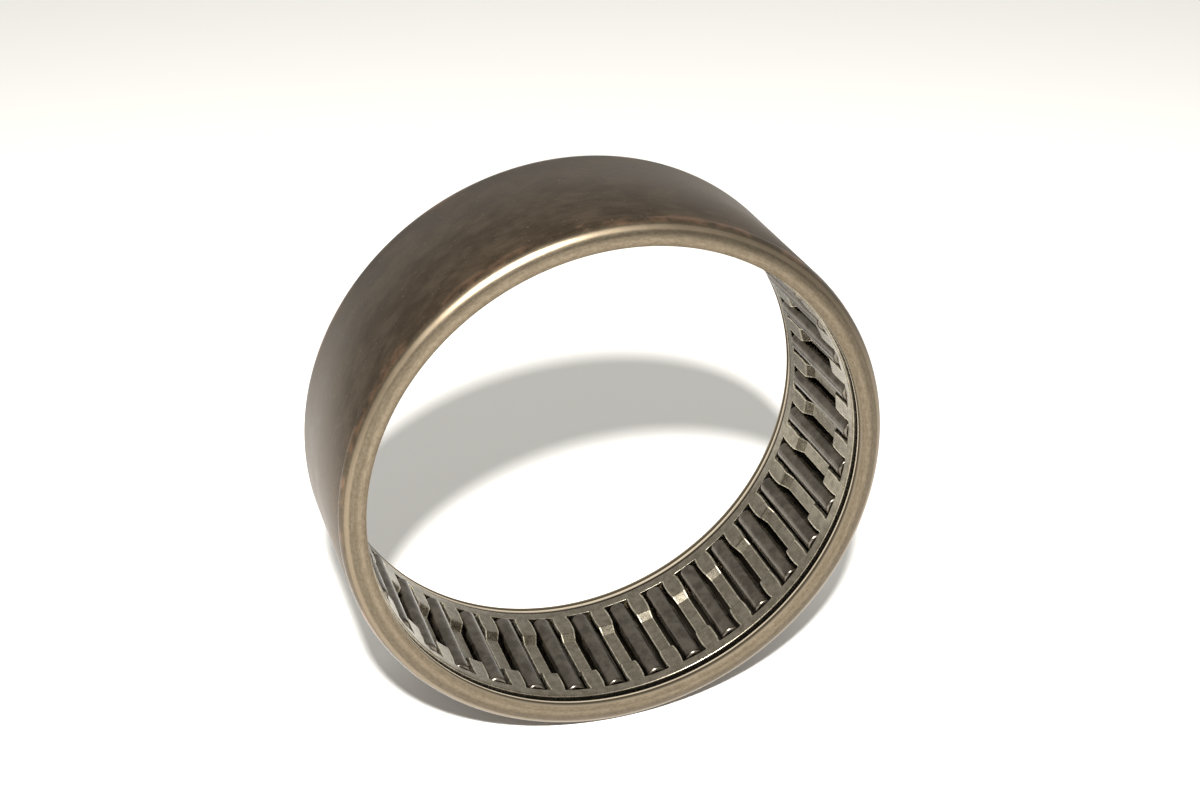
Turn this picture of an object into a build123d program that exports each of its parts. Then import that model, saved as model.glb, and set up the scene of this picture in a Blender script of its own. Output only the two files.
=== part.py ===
from build123d import *
import os
from math import cos, radians, sin, sqrt

# A caged needle roller bearing with a drawn steel cup, open at both ends. Sizes are in
# millimetres. The bearing's axis is Y, +Z is up, and the origin is the bearing's centre.

# ---------------------------------------------------------------- driving dimensions

shaft_diameter = 51.6
bearing_width = 20.0
cage_rest_angle = 1.0  # degrees from +X towards +Z to the first roller

# Outer cup: one drawn shell, with a lip turned in at each end.
cup_wall = 0.9
lip_thickness = 1.2
lip_depth = 1.75  # how far a lip stands in from the raceway
cup_corner_radius = 1.5
cup_inside_radius = 0.3
lip_face_edge_radius = 0.45  # of the bore, towards the outside
lip_inner_edge_radius = 0.1

# Needle rollers.
roller_count = 36
roller_diameter = 2.25
roller_end_radius = 0.35

# Cage: one pressed sheet ring, flanged out at both ends and stepped out in the middle.
cage_sheet = 0.5
end_ring_width = 1.15  # from the cage's end to its pockets
petal_length = 3.25  # the wide stretch of a bar next to each end ring
step_length = 0.95
step_height = 0.75
petal_swell = 0.2  # how far each side of a petal stands out past its narrower ends
petal_taper_length = 1.2
flange_bend_radius = 0.1  # on the side towards the cup
cutting_margin = 1.0  # how far the pocket's cutter runs past the sheet on each side

# Clearances.
shaft_clearance = 0.02  # radial, shaft to roller
raceway_clearance = 0.03  # radial, roller to raceway
cage_shaft_gap = 0.33  # radial, from the rollers' inner circle out to the cage
cage_cup_gap = 0.2  # radial, flange to raceway
cage_end_play = 0.6  # at each end, cage to lip
roller_end_play = 0.25  # at each end, roller to pocket
petal_side_gap = 0.28  # roller to petal
neck_side_gap = 0.5  # roller to the narrow middle of a bar

# ------------------------------------------------------------------ worked-out sizes

roller_radius = roller_diameter / 2
needle_circle_radius = shaft_diameter / 2 + shaft_clearance
pitch_radius = needle_circle_radius + roller_radius
raceway_radius = pitch_radius + roller_radius + raceway_clearance
cup_radius = raceway_radius + cup_wall
lip_bore_radius = raceway_radius - lip_depth
half_width = bearing_width / 2
lip_inner_face = half_width - lip_thickness

half_cage = lip_inner_face - cage_end_play
half_pocket = half_cage - end_ring_width
roller_length = 2 * (half_pocket - roller_end_play)
petal_end = half_pocket - petal_length
neck_end = petal_end - step_length

cage_inner_radius = needle_circle_radius + cage_shaft_gap
neck_inner_radius = cage_inner_radius + step_height
flange_radius = raceway_radius - cage_cup_gap
flange_bend = flange_bend_radius + cage_sheet

# A bar's sides are parallel to its own middle plane, because the pockets are pierced
# in the flat strip. Its half width leaves a gap to the roller beside it.
half_pitch_angle = 180 / roller_count
roller_offset = pitch_radius * sin(radians(half_pitch_angle))
roller_rise = pitch_radius * cos(radians(half_pitch_angle)) - (cage_inner_radius + cage_sheet)
petal_half_width = roller_offset - sqrt((roller_radius + petal_side_gap) ** 2 - roller_rise**2)
petal_end_half_width = petal_half_width - petal_swell
neck_half_width = roller_offset - roller_radius - neck_side_gap

bearing_plane = Plane.XZ  # its normal is the bearing's axis
roller_places = PolarLocations(pitch_radius, roller_count, cage_rest_angle)

os.makedirs("parts", exist_ok=True)

# ------------------------------------------------------------------------- outer cup

with BuildPart() as outer_cup:
    with BuildSketch(Plane.XY) as cup_section:
        with BuildLine():
            Polyline(
                (lip_bore_radius, half_width),
                (cup_radius, half_width),
                (cup_radius, -half_width),
                (lip_bore_radius, -half_width),
                (lip_bore_radius, -lip_inner_face),
                (raceway_radius, -lip_inner_face),
                (raceway_radius, lip_inner_face),
                (lip_bore_radius, lip_inner_face),
                close=True,
            )
        make_face()
        fillet(cup_section.vertices().group_by(Axis.X)[1], cup_inside_radius)
        fillet(cup_section.vertices().group_by(Axis.X)[-1], cup_corner_radius)
        bore_corners = cup_section.vertices().group_by(Axis.X)[0].sort_by(Axis.Y)
        fillet([bore_corners[0], bore_corners[-1]], lip_face_edge_radius)
        bore_corners = cup_section.vertices().filter_by_position(
            Axis.Y, -lip_inner_face, lip_inner_face
        )
        fillet(bore_corners.group_by(Axis.X)[0], lip_inner_edge_radius)
    revolve(axis=Axis.Y)

outer_cup.part.label = "outer_cup"
export_step(outer_cup.part, "parts/outer_cup.step")

# ------------------------------------------------------------------------------ cage

# One bar's outline in the flat strip: a wide petal at each end, whose sides swell, and
# a narrow neck between them. It runs on past the pocket's ends, into the end rings.
with BuildSketch() as bar_outline:
    with BuildLine():
        Polyline(
            (neck_half_width, 0),
            (neck_half_width, neck_end),
            (petal_end_half_width, petal_end),
            (petal_half_width, petal_end + petal_taper_length),
            (petal_half_width, half_pocket - petal_taper_length),
            (petal_end_half_width, half_pocket),
            (petal_end_half_width, half_cage),
            (0, half_cage),
        )
        mirror(about=Plane.XZ)
        mirror(about=Plane.YZ)
    make_face()

# A pocket is what lies between two bars. It is drawn with the bearing's axis as Z and
# its roller on +X, and the polar pattern in the cage lays it round the real axis.
# Its blank reaches into the bars on both sides, but not past their middle planes.
blank_start = cage_inner_radius - cutting_margin
blank_depth = cage_sheet + step_height + 2 * cutting_margin
blank_half_width = roller_offset - neck_half_width / 2
with BuildPart() as pocket:
    with BuildSketch(Plane.YZ.offset(blank_start)):
        Rectangle(2 * blank_half_width, 2 * half_pocket)
    extrude(amount=blank_depth)
    for side in (-1, 1):
        bar_plane = Plane.YZ.rotated((0, 0, side * half_pitch_angle))
        with BuildSketch(bar_plane.offset(blank_start - cutting_margin)):
            add(bar_outline.sketch)
        extrude(amount=blank_depth + 2 * cutting_margin, mode=Mode.SUBTRACT)

# The strip is bent to its section and rolled into a closed ring, and the pockets are cut.
with BuildPart(bearing_plane) as cage:
    with BuildSketch(Plane.XY):
        with BuildLine():
            FilletPolyline(
                (flange_radius, half_cage),
                (cage_inner_radius, half_cage),
                (cage_inner_radius, petal_end),
                (neck_inner_radius, neck_end),
                (neck_inner_radius, -neck_end),
                (cage_inner_radius, -petal_end),
                (cage_inner_radius, -half_cage),
                (flange_radius, -half_cage),
                radius=[flange_bend, 0, 0, 0, 0, flange_bend],
            )
            offset(amount=cage_sheet, side=Side.LEFT, kind=Kind.INTERSECTION)
        make_face()
    revolve(axis=Axis.Y)
    with PolarLocations(0, roller_count, cage_rest_angle):
        add(pocket.part, mode=Mode.SUBTRACT)

cage.part.label = "cage"
export_step(cage.part, "parts/cage.step")

# --------------------------------------------------------------------------- rollers

for number, place in enumerate(roller_places, start=1):
    with BuildPart(bearing_plane) as roller:
        with Locations(place):
            Cylinder(roller_radius, roller_length)
        fillet(roller.edges().filter_by(GeomType.CIRCLE), roller_end_radius)
    roller.part.label = f"roller_{number:02d}"
    export_step(roller.part, f"parts/{roller.part.label}.step")
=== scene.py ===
from math import atan, cos, degrees, pi, radians, sin, sqrt, tan

import bpy
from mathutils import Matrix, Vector


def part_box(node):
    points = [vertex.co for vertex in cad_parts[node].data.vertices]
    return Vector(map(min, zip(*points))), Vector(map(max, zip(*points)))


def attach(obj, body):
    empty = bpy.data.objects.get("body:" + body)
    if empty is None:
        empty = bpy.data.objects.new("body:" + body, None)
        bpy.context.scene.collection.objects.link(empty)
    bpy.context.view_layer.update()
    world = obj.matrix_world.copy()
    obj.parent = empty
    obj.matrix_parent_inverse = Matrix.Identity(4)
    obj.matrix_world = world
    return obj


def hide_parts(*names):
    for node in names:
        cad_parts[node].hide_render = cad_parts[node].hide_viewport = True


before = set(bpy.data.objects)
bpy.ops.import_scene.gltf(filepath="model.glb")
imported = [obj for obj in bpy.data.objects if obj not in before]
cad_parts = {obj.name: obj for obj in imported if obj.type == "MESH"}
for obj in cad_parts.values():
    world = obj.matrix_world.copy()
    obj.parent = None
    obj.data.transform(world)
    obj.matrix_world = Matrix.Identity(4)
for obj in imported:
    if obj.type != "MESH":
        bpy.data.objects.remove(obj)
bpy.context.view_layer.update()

# A caged needle roller bearing, standing on its rim. Its axis is Y and the origin is its
# centre. Lengths are in metres, and MM turns millimetres into them.

MM = 0.001
SAME_PLACE = 0.001 * MM  # two points nearer than this count as one

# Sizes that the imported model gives.
cup_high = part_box("outer_cup")[1]
cage_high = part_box("cage")[1]
needle_low, needle_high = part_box("roller_01")
NEEDLE_NODES = sorted(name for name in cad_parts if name.startswith("roller_"))

# ------------------------------------------------------------------------ driving sizes

CUP_RADIUS = cup_high.x
HALF_WIDTH = cup_high.y
CORNER_RADIUS = 1.5 * MM
WITNESS_STEP = 0.03 * MM  # the small step where the corner runs into the barrel
LIP_THICKNESS = 1.2 * MM
LIP_DEPTH = 1.75 * MM
LIP_FACE_EDGE = 0.45 * MM  # the rounding of a lip's bore, towards the outside
LIP_INNER_EDGE = 0.1 * MM
CUP_INSIDE_RADIUS = 0.3 * MM
CAGE_CUP_GAP = 0.2 * MM
CUP_SEGMENTS = 256

FLANGE_RADIUS = cage_high.x
HALF_CAGE = cage_high.y
RACEWAY_RADIUS = FLANGE_RADIUS + CAGE_CUP_GAP
LIP_BORE = RACEWAY_RADIUS - LIP_DEPTH
LIP_INNER_FACE = HALF_WIDTH - LIP_THICKNESS
SHEET = 0.5 * MM
CAGE_INNER_RADIUS = 26.15 * MM
END_RING_WIDTH = 1.15 * MM
PETAL_LENGTH = 3.25 * MM
STEP_LENGTH = 0.95 * MM
STEP_HEIGHT = 0.75 * MM
PETAL_HALF_WIDTH = 0.96 * MM
PETAL_FOLD_HALF_WIDTH = 0.84 * MM
PETAL_ROOT_HALF_WIDTH = 0.76 * MM
NECK_HALF_WIDTH = 0.72 * MM
POCKET_CORNER_RADIUS = 0.22 * MM
FLANGE_BEND = 0.15 * MM  # bend radii on the side towards the axis
PETAL_FOLD = 0.6 * MM
NECK_FOLD = 0.2 * MM
SHEET_EDGE = 0.08 * MM  # the rounding of the pierced edges
PALE_EDGE_STRIP = 0.09 * MM  # how far the paler edge colour reaches in from that rounding
FIRST_BAR_ANGLE = 6.0  # degrees from +X towards +Z

NEEDLE_RADIUS = (needle_high.x - needle_low.x) / 2
HALF_NEEDLE = needle_high.y
NEEDLE_END_RADIUS = 0.35 * MM
NEEDLE_DOME = 0.05 * MM
NEEDLE_SEGMENTS = 40
NEEDLE_COUNT = len(NEEDLE_NODES)

HALF_POCKET = HALF_CAGE - END_RING_WIDTH
PETAL_END = HALF_POCKET - PETAL_LENGTH
NECK_END = PETAL_END - STEP_LENGTH

SMOOTH_ANGLE = 35  # degrees, past which an edge stays sharp

# --------------------------------------------------------------------------- modelling


def deselect_all():
    if bpy.context.mode != "OBJECT":
        bpy.ops.object.mode_set(mode="OBJECT")
    bpy.ops.object.select_all(action="DESELECT")


def choose(piece):
    deselect_all()
    piece.select_set(True)
    bpy.context.view_layer.objects.active = piece


def start_editing(piece):
    choose(piece)
    bpy.ops.object.mode_set(mode="EDIT")
    bpy.ops.mesh.select_all(action="SELECT")


def stop_editing():
    bpy.ops.object.mode_set(mode="OBJECT")


def give(piece, *materials):
    for material in materials:
        piece.data.materials.append(material)


def select_edges(piece, test):
    """In edit mode, selects only the edges whose middle passes the test."""
    bpy.ops.mesh.select_mode(type="EDGE")
    bpy.ops.mesh.select_all(action="DESELECT")
    bpy.ops.object.mode_set(mode="OBJECT")
    vertices = piece.data.vertices
    for edge in piece.data.edges:
        first, second = edge.vertices
        edge.select = test((vertices[first].co + vertices[second].co) / 2)
    bpy.ops.object.mode_set(mode="EDIT")


def extrude_edges(move):
    bpy.ops.mesh.extrude_edges_move()
    bpy.ops.transform.translate(value=move)


def apply_place(piece):
    choose(piece)
    bpy.ops.object.transform_apply(location=True, rotation=True, scale=True)


def apply_modifier(piece, kind, **settings):
    choose(piece)
    modifier = piece.modifiers.new(kind.lower(), kind)
    for setting, value in settings.items():
        setattr(modifier, setting, value)
    bpy.ops.object.modifier_apply(modifier=modifier.name)


def smooth(piece):
    choose(piece)
    bpy.ops.object.shade_smooth_by_angle(angle=radians(SMOOTH_ANGLE))


def merge_and_point_outwards(piece, threshold=SAME_PLACE):
    start_editing(piece)
    bpy.ops.mesh.remove_doubles(threshold=threshold)
    bpy.ops.mesh.normals_make_consistent(inside=False)
    stop_editing()


def arc(centre, radius, start, end, steps):
    """Points round an arc in a section's plane, from one angle in degrees to another."""
    turns = [radians(start + (end - start) * i / steps) for i in range(steps + 1)]
    return [(centre[0] + radius * cos(turn), centre[1] + radius * sin(turn)) for turn in turns]


def turn_section(name, section, segments, closed):
    """Turns a section, a list of (radius, y), about the Y axis. A closed section joins up
    with its start. An open one is a solid bar's, and gets a flat at each end."""
    radius, y = section[0]
    bpy.ops.mesh.primitive_circle_add(
        vertices=segments,
        radius=radius,
        fill_type="NOTHING" if closed else "NGON",
        location=(0, y, 0),
        rotation=(pi / 2, 0, 0),
    )
    piece = bpy.context.object
    piece.name = name
    apply_place(piece)
    start_editing(piece)
    for next_radius, next_y in section[1:]:
        if closed:
            bpy.ops.mesh.extrude_edges_move()
        else:
            bpy.ops.mesh.extrude_region_move()
        grow = next_radius / radius
        bpy.ops.transform.resize(value=(grow, 1, grow), center_override=(0, 0, 0))
        bpy.ops.transform.translate(value=(0, next_y - y, 0))
        radius, y = next_radius, next_y
    merge_and_point_outwards(piece)
    smooth(piece)
    return piece


# -------------------------------------------------------------------------- the drawn cup


def half_cup_section():
    """From the middle of the barrel, round one lip, to the middle of the raceway."""
    corner = (CUP_RADIUS - CORNER_RADIUS, HALF_WIDTH - CORNER_RADIUS)
    face_edge = (LIP_BORE + LIP_FACE_EDGE, HALF_WIDTH - LIP_FACE_EDGE)
    inner_edge = (LIP_BORE + LIP_INNER_EDGE, LIP_INNER_FACE + LIP_INNER_EDGE)
    inside = (RACEWAY_RADIUS - CUP_INSIDE_RADIUS, LIP_INNER_FACE - CUP_INSIDE_RADIUS)
    points = [(CUP_RADIUS, 0), (CUP_RADIUS, corner[1] - 2 * WITNESS_STEP)]

    # The corner's arc stops just short of the face, which leaves a fine line there too.
    points += arc(corner, CORNER_RADIUS - WITNESS_STEP, 0, 86, 14)
    points += [(corner[0], HALF_WIDTH)]
    points += arc(face_edge, LIP_FACE_EDGE, 90, 180, 7)
    points += arc(inner_edge, LIP_INNER_EDGE, 180, 270, 3)
    points += arc(inside, CUP_INSIDE_RADIUS, 90, 0, 4)
    points += [(RACEWAY_RADIUS, 0)]
    return points


def make_cup():
    half = half_cup_section()
    other_half = [(radius, -y) for radius, y in reversed(half)]
    return turn_section("drawn_cup", half + other_half[1:], CUP_SEGMENTS, closed=True)


# ------------------------------------------------------------------------ needle rollers


def make_needle():
    """One needle along Y, at the origin: rounded corners and slightly domed ends."""
    flat = NEEDLE_RADIUS - NEEDLE_END_RADIUS
    shoulder = HALF_NEEDLE - NEEDLE_DOME - NEEDLE_END_RADIUS
    half = [(0.35 * flat, HALF_NEEDLE), (0.75 * flat, HALF_NEEDLE - 0.4 * NEEDLE_DOME)]
    half += arc((flat, shoulder), NEEDLE_END_RADIUS, 90, 0, 6)
    half += [(NEEDLE_RADIUS, shoulder - NEEDLE_END_RADIUS)]
    section = half + [(radius, -y) for radius, y in reversed(half)]
    return turn_section("needle", section, NEEDLE_SEGMENTS, closed=False)


def lay_needles(pattern):
    """A copy of the pattern needle, with its own mesh, in the place of each roller."""
    needles = []
    for node in NEEDLE_NODES:
        low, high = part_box(node)
        needle = pattern.copy()
        needle.data = pattern.data.copy()
        needle.name = node.replace("roller", "needle")
        bpy.context.collection.objects.link(needle)
        needle.location = (low + high) / 2
        apply_place(needle)
        needles.append((needle, node))
    bpy.data.objects.remove(pattern)
    return needles


# ---------------------------------------------------------------------- the pressed cage


def bar_half_width(z):
    """Half the width of a bar, at a distance z from its middle."""
    if z <= NECK_END:
        return NECK_HALF_WIDTH
    if z <= PETAL_END:
        share = (z - NECK_END) / STEP_LENGTH
        return NECK_HALF_WIDTH + share * (PETAL_FOLD_HALF_WIDTH - NECK_HALF_WIDTH)
    from_middle = 2 * (z - PETAL_END) / PETAL_LENGTH - 1
    end_half_width = PETAL_ROOT_HALF_WIDTH if from_middle > 0 else PETAL_FOLD_HALF_WIDTH
    waist = (PETAL_HALF_WIDTH - end_half_width) * abs(from_middle) ** 3
    into_corner = max(0, POCKET_CORNER_RADIUS - (HALF_POCKET - z))
    corner = POCKET_CORNER_RADIUS - sqrt(POCKET_CORNER_RADIUS**2 - into_corner**2)
    return PETAL_HALF_WIDTH - waist + corner


def bar_rows():
    """The rows of a bar from the end ring to its middle: (z, height towards the axis)."""
    slope = degrees(atan(STEP_HEIGHT / STEP_LENGTH))
    half_fold = tan(radians(slope / 2))
    petal_start = HALF_POCKET - POCKET_CORNER_RADIUS
    petal_flat = PETAL_END + PETAL_FOLD * half_fold
    petal_steps = 9
    corner_turns = (30, 50, 70, 90)  # degrees round the pocket's corner
    rows = [(petal_start + POCKET_CORNER_RADIUS * cos(radians(turn)), 0) for turn in corner_turns]
    for step in range(1, petal_steps):
        rows += [(petal_start + (petal_flat - petal_start) * step / petal_steps, 0)]
    rows += arc((petal_flat, -PETAL_FOLD), PETAL_FOLD, 90, 90 + slope, 3)
    neck_fold = (NECK_END - NECK_FOLD * half_fold, NECK_FOLD - STEP_HEIGHT)
    rows += arc(neck_fold, NECK_FOLD, slope - 90, -90, 3)
    rows += [(NECK_END / 2, -STEP_HEIGHT), (0, -STEP_HEIGHT)]
    return rows


def make_flat_pitch(pitch):
    """Half a bar with its share of end ring and flange, in the flat. X runs along the
    strip, Y towards the axis, and Z across the strip, from its middle to its edge."""
    root = bar_half_width(HALF_POCKET)
    bpy.ops.mesh.primitive_plane_add(size=1, rotation=(pi / 2, 0, 0))
    strip = bpy.context.object
    strip.name = "pressed_cage"
    strip.scale = (2 * root, HALF_CAGE - HALF_POCKET, 1)
    strip.location = (0, 0, (HALF_CAGE + HALF_POCKET) / 2)
    apply_place(strip)

    # Four columns over the bar. The outer two are as wide as the paler edges.
    start_editing(strip)
    select_edges(strip, lambda middle: abs(middle.x) < root / 2)
    bpy.ops.mesh.subdivide(number_cuts=3)
    select_edges(strip, lambda middle: abs(abs(middle.x) - root / 2) < SAME_PLACE)
    inner = root - SHEET_EDGE - PALE_EDGE_STRIP
    bpy.ops.transform.resize(value=(2 * inner / root, 1, 1), center_override=(0, 0, 0))

    # On each side of it, two columns out to the middle of the pocket.
    columns = 2
    column_width = (pitch / 2 - root) / columns
    for side in (-1, 1):
        for column in range(columns):
            edge_x = side * (root + column * column_width)
            select_edges(strip, lambda middle: abs(middle.x - edge_x) < SAME_PLACE)
            extrude_edges((side * column_width, 0, 0))

    # The flange, turned away from the axis.
    select_edges(strip, lambda middle: abs(middle.z - HALF_CAGE) < SAME_PLACE)
    extrude_edges((0, CAGE_INNER_RADIUS - FLANGE_RADIUS, 0))

    # The bar, down to its middle.
    select_edges(strip, lambda m: abs(m.z - HALF_POCKET) < SAME_PLACE and abs(m.x) < root)
    z, height, half_width = HALF_POCKET, 0, root
    for next_z, next_height in bar_rows():
        next_half_width = bar_half_width(next_z)
        extrude_edges((0, next_height - height, next_z - z))
        grow = next_half_width / half_width
        bpy.ops.transform.resize(value=(grow, 1, 1), center_override=(0, 0, 0))
        z, height, half_width = next_z, next_height, next_half_width
    stop_editing()
    return strip


def pale_bar_edges(strip):
    """Gives the second material to a bar's faces along its two pierced sides."""
    side_share = 0.8  # a side column is narrow, so its middle is past this share of its reach
    for face in strip.data.polygons:
        if face.center.z < HALF_POCKET:
            widest = max(abs(strip.data.vertices[corner].co.x) for corner in face.vertices)
            if abs(face.center.x) > side_share * widest:
                face.material_index = 1


def roll_into_ring(strip):
    """Bends the strip round, joins its ends, and lays the ring round the bearing's axis."""
    joint_reach = 0.01 * MM
    apply_modifier(strip, "SIMPLE_DEFORM", deform_method="BEND", deform_axis="Z", angle=2 * pi)
    strip.location.y = -CAGE_INNER_RADIUS
    apply_place(strip)
    merge_and_point_outwards(strip, joint_reach)
    strip.rotation_euler = (pi / 2, 0, 0)
    apply_place(strip)
    seam_turn = FIRST_BAR_ANGLE - 180 / NEEDLE_COUNT  # the roll starts half a bar early
    strip.rotation_euler = (0, -radians(seam_turn), 0)
    apply_place(strip)


def round_flange_bends(ring):
    """Rounds the sharp inner corner between each end ring and its flange."""
    corner = Vector((CAGE_INNER_RADIUS, HALF_CAGE))
    reach = 0.1 * MM

    def is_corner(middle):
        radius = Vector((middle.x, middle.z)).length
        return (Vector((radius, abs(middle.y))) - corner).length < reach

    start_editing(ring)
    select_edges(ring, is_corner)
    bpy.ops.mesh.bevel(offset=FLANGE_BEND, segments=4)
    stop_editing()


def make_cage(sheet_steel, edge_steel):
    pitch = 2 * pi * CAGE_INNER_RADIUS / NEEDLE_COUNT
    cage = make_flat_pitch(pitch)
    give(cage, sheet_steel, edge_steel)
    pale_bar_edges(cage)
    apply_modifier(cage, "MIRROR", use_axis=(False, False, True), merge_threshold=SAME_PLACE)
    cage.location.x = -pitch * (NEEDLE_COUNT - 1) / 2
    apply_place(cage)
    apply_modifier(
        cage,
        "ARRAY",
        count=NEEDLE_COUNT,
        use_relative_offset=False,
        use_constant_offset=True,
        constant_offset_displace=(pitch, 0, 0),
        use_merge_vertices=True,
        merge_threshold=SAME_PLACE,
    )
    roll_into_ring(cage)
    apply_modifier(cage, "SOLIDIFY", thickness=SHEET, offset=-1, use_even_offset=True)
    round_flange_bends(cage)
    apply_modifier(
        cage,
        "BEVEL",
        width=SHEET_EDGE,
        segments=2,
        limit_method="ANGLE",
        angle_limit=radians(50),
        material=1,
    )
    smooth(cage)
    return cage


# --------------------------------------------------------------------------- materials


def new_material(name, **settings):
    """A material with its node tree and shader. The settings are the shader's own."""
    material = bpy.data.materials.new(name)
    material.use_nodes = True
    tree = material.node_tree
    shader = tree.nodes["Principled BSDF"]
    for setting, value in settings.items():
        shader.inputs[setting.replace("_", " ")].default_value = value
    return material, tree, shader


def put(tree, socket, value):
    """Links a socket to another, or gives it a value."""
    if isinstance(value, bpy.types.NodeSocket):
        tree.links.new(value, socket)
    else:
        socket.default_value = value


def maths(tree, operation, first, second=0.0):
    node = tree.nodes.new("ShaderNodeMath")
    node.operation = operation
    put(tree, node.inputs[0], first)
    put(tree, node.inputs[1], second)
    return node.outputs[0]


def both(tree, first, second):
    """The share of a surface where two conditions meet."""
    return maths(tree, "MULTIPLY", first, second)


def mixture(tree, first, first_share, second):
    first_part = maths(tree, "MULTIPLY", first, first_share)
    second_part = maths(tree, "MULTIPLY", second, 1 - first_share)
    return maths(tree, "ADD", first_part, second_part)


def place(tree):
    """The x, y and z of a point, and its distance from the bearing's axis."""
    coordinates = tree.nodes.new("ShaderNodeTexCoord")
    split = tree.nodes.new("ShaderNodeSeparateXYZ")
    tree.links.new(coordinates.outputs["Object"], split.inputs[0])
    x, y, z = split.outputs
    squares = maths(tree, "ADD", maths(tree, "MULTIPLY", x, x), maths(tree, "MULTIPLY", z, z))
    return x, y, z, maths(tree, "SQRT", squares)


def streaks(tree, where, along, across, detail):
    """Noise in patches that are `along` long round the axis and `across` wide."""
    x, y, z, radius = where
    join = tree.nodes.new("ShaderNodeCombineXYZ")
    put(tree, join.inputs[0], maths(tree, "DIVIDE", x, along))
    put(tree, join.inputs[1], maths(tree, "DIVIDE", y, across))
    put(tree, join.inputs[2], maths(tree, "DIVIDE", z, along))
    noise = tree.nodes.new("ShaderNodeTexNoise")
    noise.noise_dimensions = "4D"
    noise.inputs["Scale"].default_value = 1.0
    noise.inputs["Detail"].default_value = detail
    noise.inputs["Roughness"].default_value = 0.55
    tree.links.new(join.outputs[0], noise.inputs["Vector"])
    put(tree, noise.inputs["W"], maths(tree, "DIVIDE", radius, across))
    return noise.outputs["Fac"]


def between(tree, value, low, high, low_result=0.0, high_result=1.0):
    """Carries a value from one range smoothly to another. The low end may be the larger."""
    node = tree.nodes.new("ShaderNodeMapRange")
    node.interpolation_type = "SMOOTHSTEP"
    put(tree, node.inputs["Value"], value)
    node.inputs["From Min"].default_value = low
    node.inputs["From Max"].default_value = high
    node.inputs["To Min"].default_value = low_result
    node.inputs["To Max"].default_value = high_result
    return node.outputs[0]


def blend_colours(tree, share, first, second, how="MIX"):
    node = tree.nodes.new("ShaderNodeMix")
    node.data_type = "RGBA"
    node.blend_type = how
    share_socket, first_socket, second_socket = node.inputs[0], node.inputs[6], node.inputs[7]
    put(tree, share_socket, share)
    put(tree, first_socket, first)
    put(tree, second_socket, second)
    return node.outputs[2]


def bump(tree, shader, height, distance):
    node = tree.nodes.new("ShaderNodeBump")
    node.inputs["Strength"].default_value = 1.0
    node.inputs["Distance"].default_value = distance
    put(tree, node.inputs["Height"], height)
    tree.links.new(node.outputs[0], shader.inputs["Normal"])


def paint(tree, shader, colour, roughness):
    tree.links.new(colour, shader.inputs["Base Color"])
    tree.links.new(roughness, shader.inputs["Roughness"])


def barrel_colour(tree, where, cloud, streak):
    """Dark and oily in clouds, streaked by the drawing, with a few pale specks."""
    dark = (0.080, 0.056, 0.036, 1)
    light = (0.118, 0.089, 0.061, 1)
    pale = (0.34, 0.29, 0.23, 1)
    specks = streaks(tree, where, 0.22 * MM, 0.14 * MM, detail=1)
    colour = blend_colours(tree, between(tree, cloud, 0.34, 0.66), dark, light)
    streak_tone = between(tree, streak, 0.3, 0.7, 0.90, 1.10)
    colour = blend_colours(tree, 1.0, colour, streak_tone, "MULTIPLY")
    return blend_colours(tree, between(tree, specks, 0.70, 0.78), colour, pale)


def lip_face_colour(tree, where, streak, radius):
    """Lighter than the barrel, with painted shade where it runs into the rounded corner."""
    dark = (0.156, 0.125, 0.087, 1)
    light = (0.212, 0.173, 0.124, 1)
    pores = streaks(tree, where, 0.35 * MM, 0.3 * MM, detail=3)
    grain = mixture(tree, streak, 0.4, pores)
    colour = blend_colours(tree, between(tree, grain, 0.36, 0.64), dark, light)
    # Painted shade: the face is painted darker towards the rounded corner.
    face_painted_shade = between(tree, radius, CUP_RADIUS - 1.9 * MM, CUP_RADIUS - 1.35 * MM, 1.0, 0.66)
    return blend_colours(tree, 1.0, colour, face_painted_shade, "MULTIPLY")


def paint_crown_highlight(tree, colour, from_middle, radius):
    """A painted highlight: the crown of the rounded corner is painted lighter than either side of
    it.
    """
    crown_highlight_tan = (0.27, 0.215, 0.150, 1)
    near_face = between(tree, from_middle, HALF_WIDTH - 0.56 * MM, HALF_WIDTH - 0.40 * MM)
    near_barrel = between(tree, radius, CUP_RADIUS - 0.95 * MM, CUP_RADIUS - 0.75 * MM, 0.0, 0.6)
    return blend_colours(tree, both(tree, near_face, near_barrel), colour, crown_highlight_tan)


def colour_lip_bore(tree, colour, from_middle, radius):
    """The lip's bore is pierced. It has a band of painted shade, and a painted highlight at its
    inner edge.
    """
    dark = (0.085, 0.068, 0.046, 1)
    light = (0.25, 0.21, 0.155, 1)
    bore_edge_highlight = (0.62, 0.55, 0.44, 1)
    # Painted shade in the band, and a painted highlight along the inner edge.
    past_dark = between(tree, from_middle, LIP_INNER_FACE + 0.6 * MM, LIP_INNER_FACE + 0.8 * MM)
    at_edge = between(tree, from_middle, LIP_INNER_FACE + 0.34 * MM, LIP_INNER_FACE + 0.24 * MM)
    on_bore = between(tree, radius, LIP_BORE + 0.15 * MM, LIP_BORE + 0.02 * MM)
    bore = blend_colours(tree, past_dark, dark, light)
    colour = blend_colours(tree, on_bore, colour, bore)
    return blend_colours(tree, both(tree, on_bore, at_edge), colour, bore_edge_highlight)


def shade_raceway(tree, colour, from_middle, radius):
    # Painted shade: the inside of the cup is painted near black, for the shade in the gaps
    # between the needles.
    raceway_painted_shade = (0.045, 0.036, 0.026, 1)
    inside = between(tree, radius, CUP_RADIUS - 0.6 * MM, CUP_RADIUS - 0.8 * MM)
    off_face = between(tree, from_middle, HALF_WIDTH - 1.0 * MM, HALF_WIDTH - 1.3 * MM)
    return blend_colours(tree, both(tree, inside, off_face), colour, raceway_painted_shade)


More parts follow.
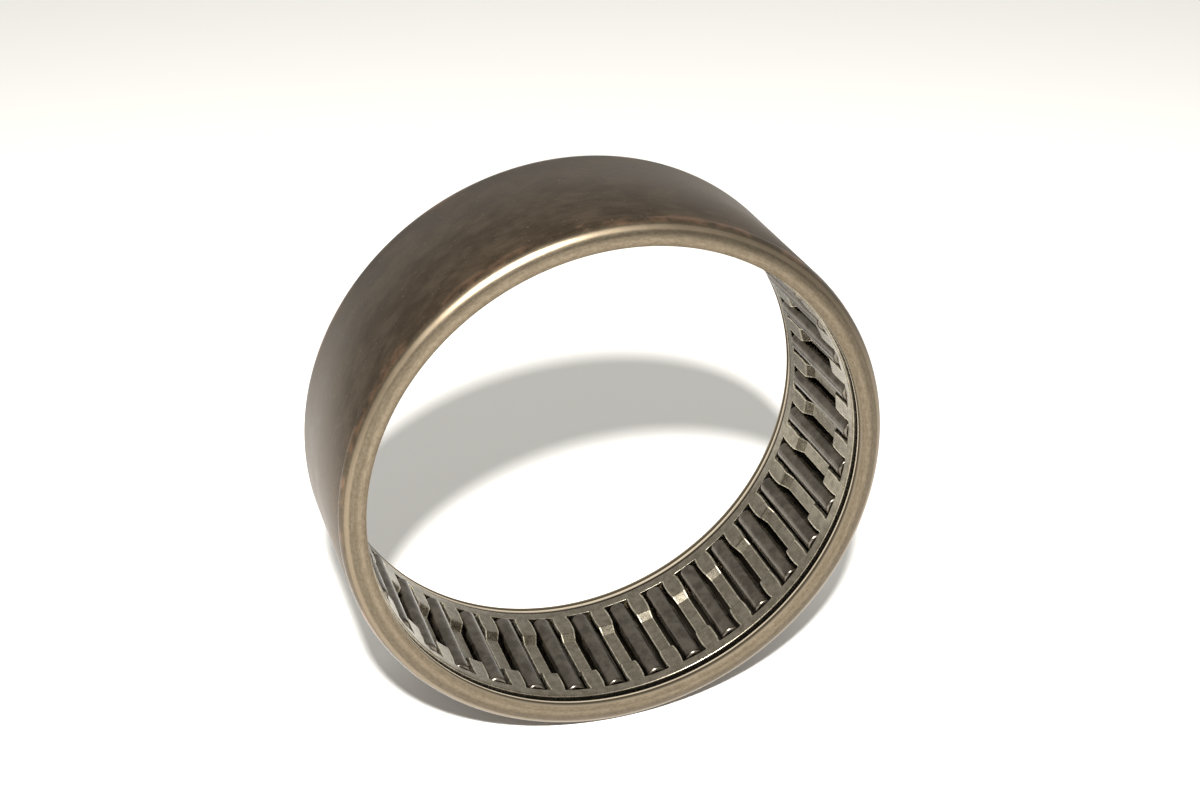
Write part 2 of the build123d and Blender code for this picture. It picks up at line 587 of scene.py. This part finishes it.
def add_copper(tree, colour, cloud, from_middle, radius):
    """A little copper shows in patches on the barrel's ends."""
    copper = (0.36, 0.20, 0.12, 1)
    near_end = between(tree, from_middle, HALF_WIDTH - 2.0 * MM, HALF_WIDTH - 1.3 * MM)
    outside = between(tree, radius, CUP_RADIUS - 0.4 * MM, CUP_RADIUS - 0.2 * MM)
    patches = between(tree, cloud, 0.46, 0.62, 0.0, 0.4)
    share = both(tree, both(tree, near_end, outside), patches)
    return blend_colours(tree, share, colour, copper)


def cup_roughness(tree, cloud, on_face, from_middle, radius):
    """The drawing tool leaves the rounded corner smoother than the barrel and the face."""
    face_extra = 0.14
    bore_extra = 0.3
    corner_polish = 0.34
    past_face = between(tree, radius, CUP_RADIUS - 1.5 * MM, CUP_RADIUS - 1.2 * MM)
    past_barrel = between(tree, from_middle, HALF_WIDTH - 1.5 * MM, HALF_WIDTH - 1.3 * MM)
    on_corner = both(tree, past_face, past_barrel)
    near_bore = between(tree, radius, LIP_BORE + 0.7 * MM, LIP_BORE + 0.4 * MM, 0.0, bore_extra)
    rough = between(tree, cloud, 0.3, 0.7, 0.38, 0.46)
    rough = maths(tree, "ADD", rough, maths(tree, "MULTIPLY", on_face, face_extra))
    rough = maths(tree, "ADD", rough, near_bore)
    polish = maths(tree, "SUBTRACT", 1.0, maths(tree, "MULTIPLY", on_corner, corner_polish))
    return maths(tree, "MULTIPLY", rough, polish)


def make_cup_steel():
    """Drawn and hardened steel, dark and oily on the barrel, lighter on the lip faces."""
    material, tree, shader = new_material("hardened_cup_steel", Metallic=1.0)
    where = place(tree)
    _, y, _, radius = where
    from_middle = maths(tree, "ABSOLUTE", y)
    cloud = streaks(tree, where, 3 * MM, 2 * MM, detail=4)
    streak = streaks(tree, where, 1.1 * MM, 0.16 * MM, detail=3)
    grain = streaks(tree, where, 0.5 * MM, 0.06 * MM, detail=2)

    on_face = between(tree, from_middle, HALF_WIDTH - 1.3 * MM, HALF_WIDTH - 0.3 * MM)
    barrel = barrel_colour(tree, where, cloud, streak)
    face = lip_face_colour(tree, where, streak, radius)
    colour = blend_colours(tree, on_face, barrel, face)
    # painted highlight along the crown of the rounded corner
    colour = paint_crown_highlight(tree, colour, from_middle, radius)
    colour = colour_lip_bore(tree, colour, from_middle, radius)
    # painted shade inside the cup
    colour = shade_raceway(tree, colour, from_middle, radius)
    colour = add_copper(tree, colour, cloud, from_middle, radius)
    paint(tree, shader, colour, cup_roughness(tree, cloud, on_face, from_middle, radius))
    height = maths(tree, "ADD", grain, maths(tree, "MULTIPLY", streak, 1.5))
    bump(tree, shader, height, 0.004 * MM)
    return material


def make_cage_steel():
    """Pressed sheet, satin and slightly olive."""
    material, tree, shader = new_material("pressed_cage_steel", Metallic=1.0)
    where = place(tree)
    cloud = streaks(tree, where, 0.7 * MM, 0.7 * MM, detail=4)
    pits = streaks(tree, where, 0.12 * MM, 0.12 * MM, detail=3)
    dark = (0.180, 0.158, 0.120, 1)
    light = (0.300, 0.268, 0.212, 1)
    tone = mixture(tree, cloud, 0.65, pits)
    colour = blend_colours(tree, between(tree, tone, 0.36, 0.64), dark, light)
    paint(tree, shader, colour, between(tree, pits, 0.3, 0.7, 0.22, 0.34))
    bump(tree, shader, maths(tree, "ADD", cloud, pits), 0.003 * MM)
    return material


def make_edge_steel():
    """The pierced edges of the sheet, coloured paler than the sheet."""
    material, tree, shader = new_material("pale_edge_steel", Metallic=1.0)
    where = place(tree)
    nicks = streaks(tree, where, 0.4 * MM, 0.4 * MM, detail=3)
    dark = (0.36, 0.325, 0.25, 1)
    light = (0.60, 0.55, 0.44, 1)
    colour = blend_colours(tree, between(tree, nicks, 0.35, 0.6), dark, light)
    paint(tree, shader, colour, between(tree, nicks, 0.3, 0.7, 0.28, 0.45))
    return material


def make_needle_steel():
    """Ground needles under a film of old oil."""
    material, tree, shader = new_material("ground_needle_steel", Metallic=1.0)
    where = place(tree)
    cloud = streaks(tree, where, 1.2 * MM, 1.2 * MM, detail=3)
    grinding = streaks(tree, where, 1.0 * MM, 0.06 * MM, detail=2)
    dark = (0.100, 0.086, 0.070, 1)
    light = (0.165, 0.146, 0.122, 1)
    colour = blend_colours(tree, between(tree, cloud, 0.35, 0.65), dark, light)
    paint(tree, shader, colour, between(tree, cloud, 0.3, 0.7, 0.20, 0.34))
    bump(tree, shader, grinding, 0.003 * MM)
    return material


# ------------------------------------------------------------------- floor, light, camera

FLOOR_SIZE = 6  # metres

LAMP_AZIMUTH = -18
LAMP_ELEVATION = 44
LAMP_DISTANCE = 342 * MM
LAMP_WIDTH = 22 * MM
LAMP_POWER = 3.5  # watts
ROOM_BRIGHTNESS = 0.65

CAMERA_AZIMUTH = -18.41
CAMERA_ELEVATION = 29.25
CAMERA_DISTANCE = 197.3 * MM
AIM_TO_RIGHT = 0.73 * MM  # of the bearing's centre
AIM_ABOVE = 4.66 * MM
CAMERA_LENS = 56.17  # on a sensor 36 wide


def make_floor():
    bpy.ops.mesh.primitive_plane_add(size=FLOOR_SIZE, location=(0, 0, -CUP_RADIUS))
    floor = bpy.context.object
    floor.name = "floor"
    material, _, shader = new_material("matt_white_card", Roughness=0.9)
    shader.inputs["Base Color"].default_value = (0.80, 0.795, 0.78, 1)
    shader.inputs["Specular IOR Level"].default_value = 0.1
    give(floor, material)


def direction(azimuth, elevation):
    """From the bearing's centre. Azimuth 0 is -Y and elevation is above the horizon."""
    turn = radians(azimuth)
    rise = radians(elevation)
    return Vector((sin(turn) * cos(rise), -cos(turn) * cos(rise), sin(rise)))


def light_room():
    world = bpy.data.worlds.new("soft_room")
    world.use_nodes = True
    background = world.node_tree.nodes["Background"]
    background.inputs["Color"].default_value = (1.0, 0.98, 0.93, 1)
    background.inputs["Strength"].default_value = ROOM_BRIGHTNESS
    bpy.context.scene.world = world
    bpy.context.scene.view_settings.view_transform = "Standard"


def add_main_lamp():
    """A small round lamp behind and above the camera, pointed at the bearing."""
    out = LAMP_DISTANCE * direction(LAMP_AZIMUTH, LAMP_ELEVATION)
    bpy.ops.object.light_add(type="AREA", location=out)
    lamp = bpy.context.object
    lamp.name = "main_lamp"
    lamp.rotation_euler = (-out).to_track_quat("-Z", "Y").to_euler()
    lamp.data.shape = "DISK"
    lamp.data.size = LAMP_WIDTH
    lamp.data.energy = LAMP_POWER
    lamp.data.color = (1.0, 0.985, 0.955)


def add_camera():
    back = direction(CAMERA_AZIMUTH, CAMERA_ELEVATION)
    right = Vector((0, 0, 1)).cross(back).normalized()
    up = back.cross(right)
    bpy.ops.object.camera_add(location=CAMERA_DISTANCE * back)
    camera = bpy.context.object
    aim = AIM_TO_RIGHT * right + AIM_ABOVE * up
    camera.rotation_euler = (aim - camera.location).to_track_quat("-Z", "Y").to_euler()
    camera.data.sensor_width = 36
    camera.data.lens = CAMERA_LENS
    camera.data.clip_start = 1 * MM
    bpy.context.scene.camera = camera


# ------------------------------------------------------------------------------- the job


def finish_piece(piece, body, node):
    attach(piece, body)
    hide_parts(node)


deselect_all()
cup = make_cup()
give(cup, make_cup_steel())
finish_piece(cup, "outer_cup", "outer_cup")

cage = make_cage(make_cage_steel(), make_edge_steel())
finish_piece(cage, "cage", "cage")

pattern_needle = make_needle()
give(pattern_needle, make_needle_steel())
for needle, node in lay_needles(pattern_needle):
    finish_piece(needle, node, node)

make_floor()
light_room()
add_main_lamp()
add_camera()
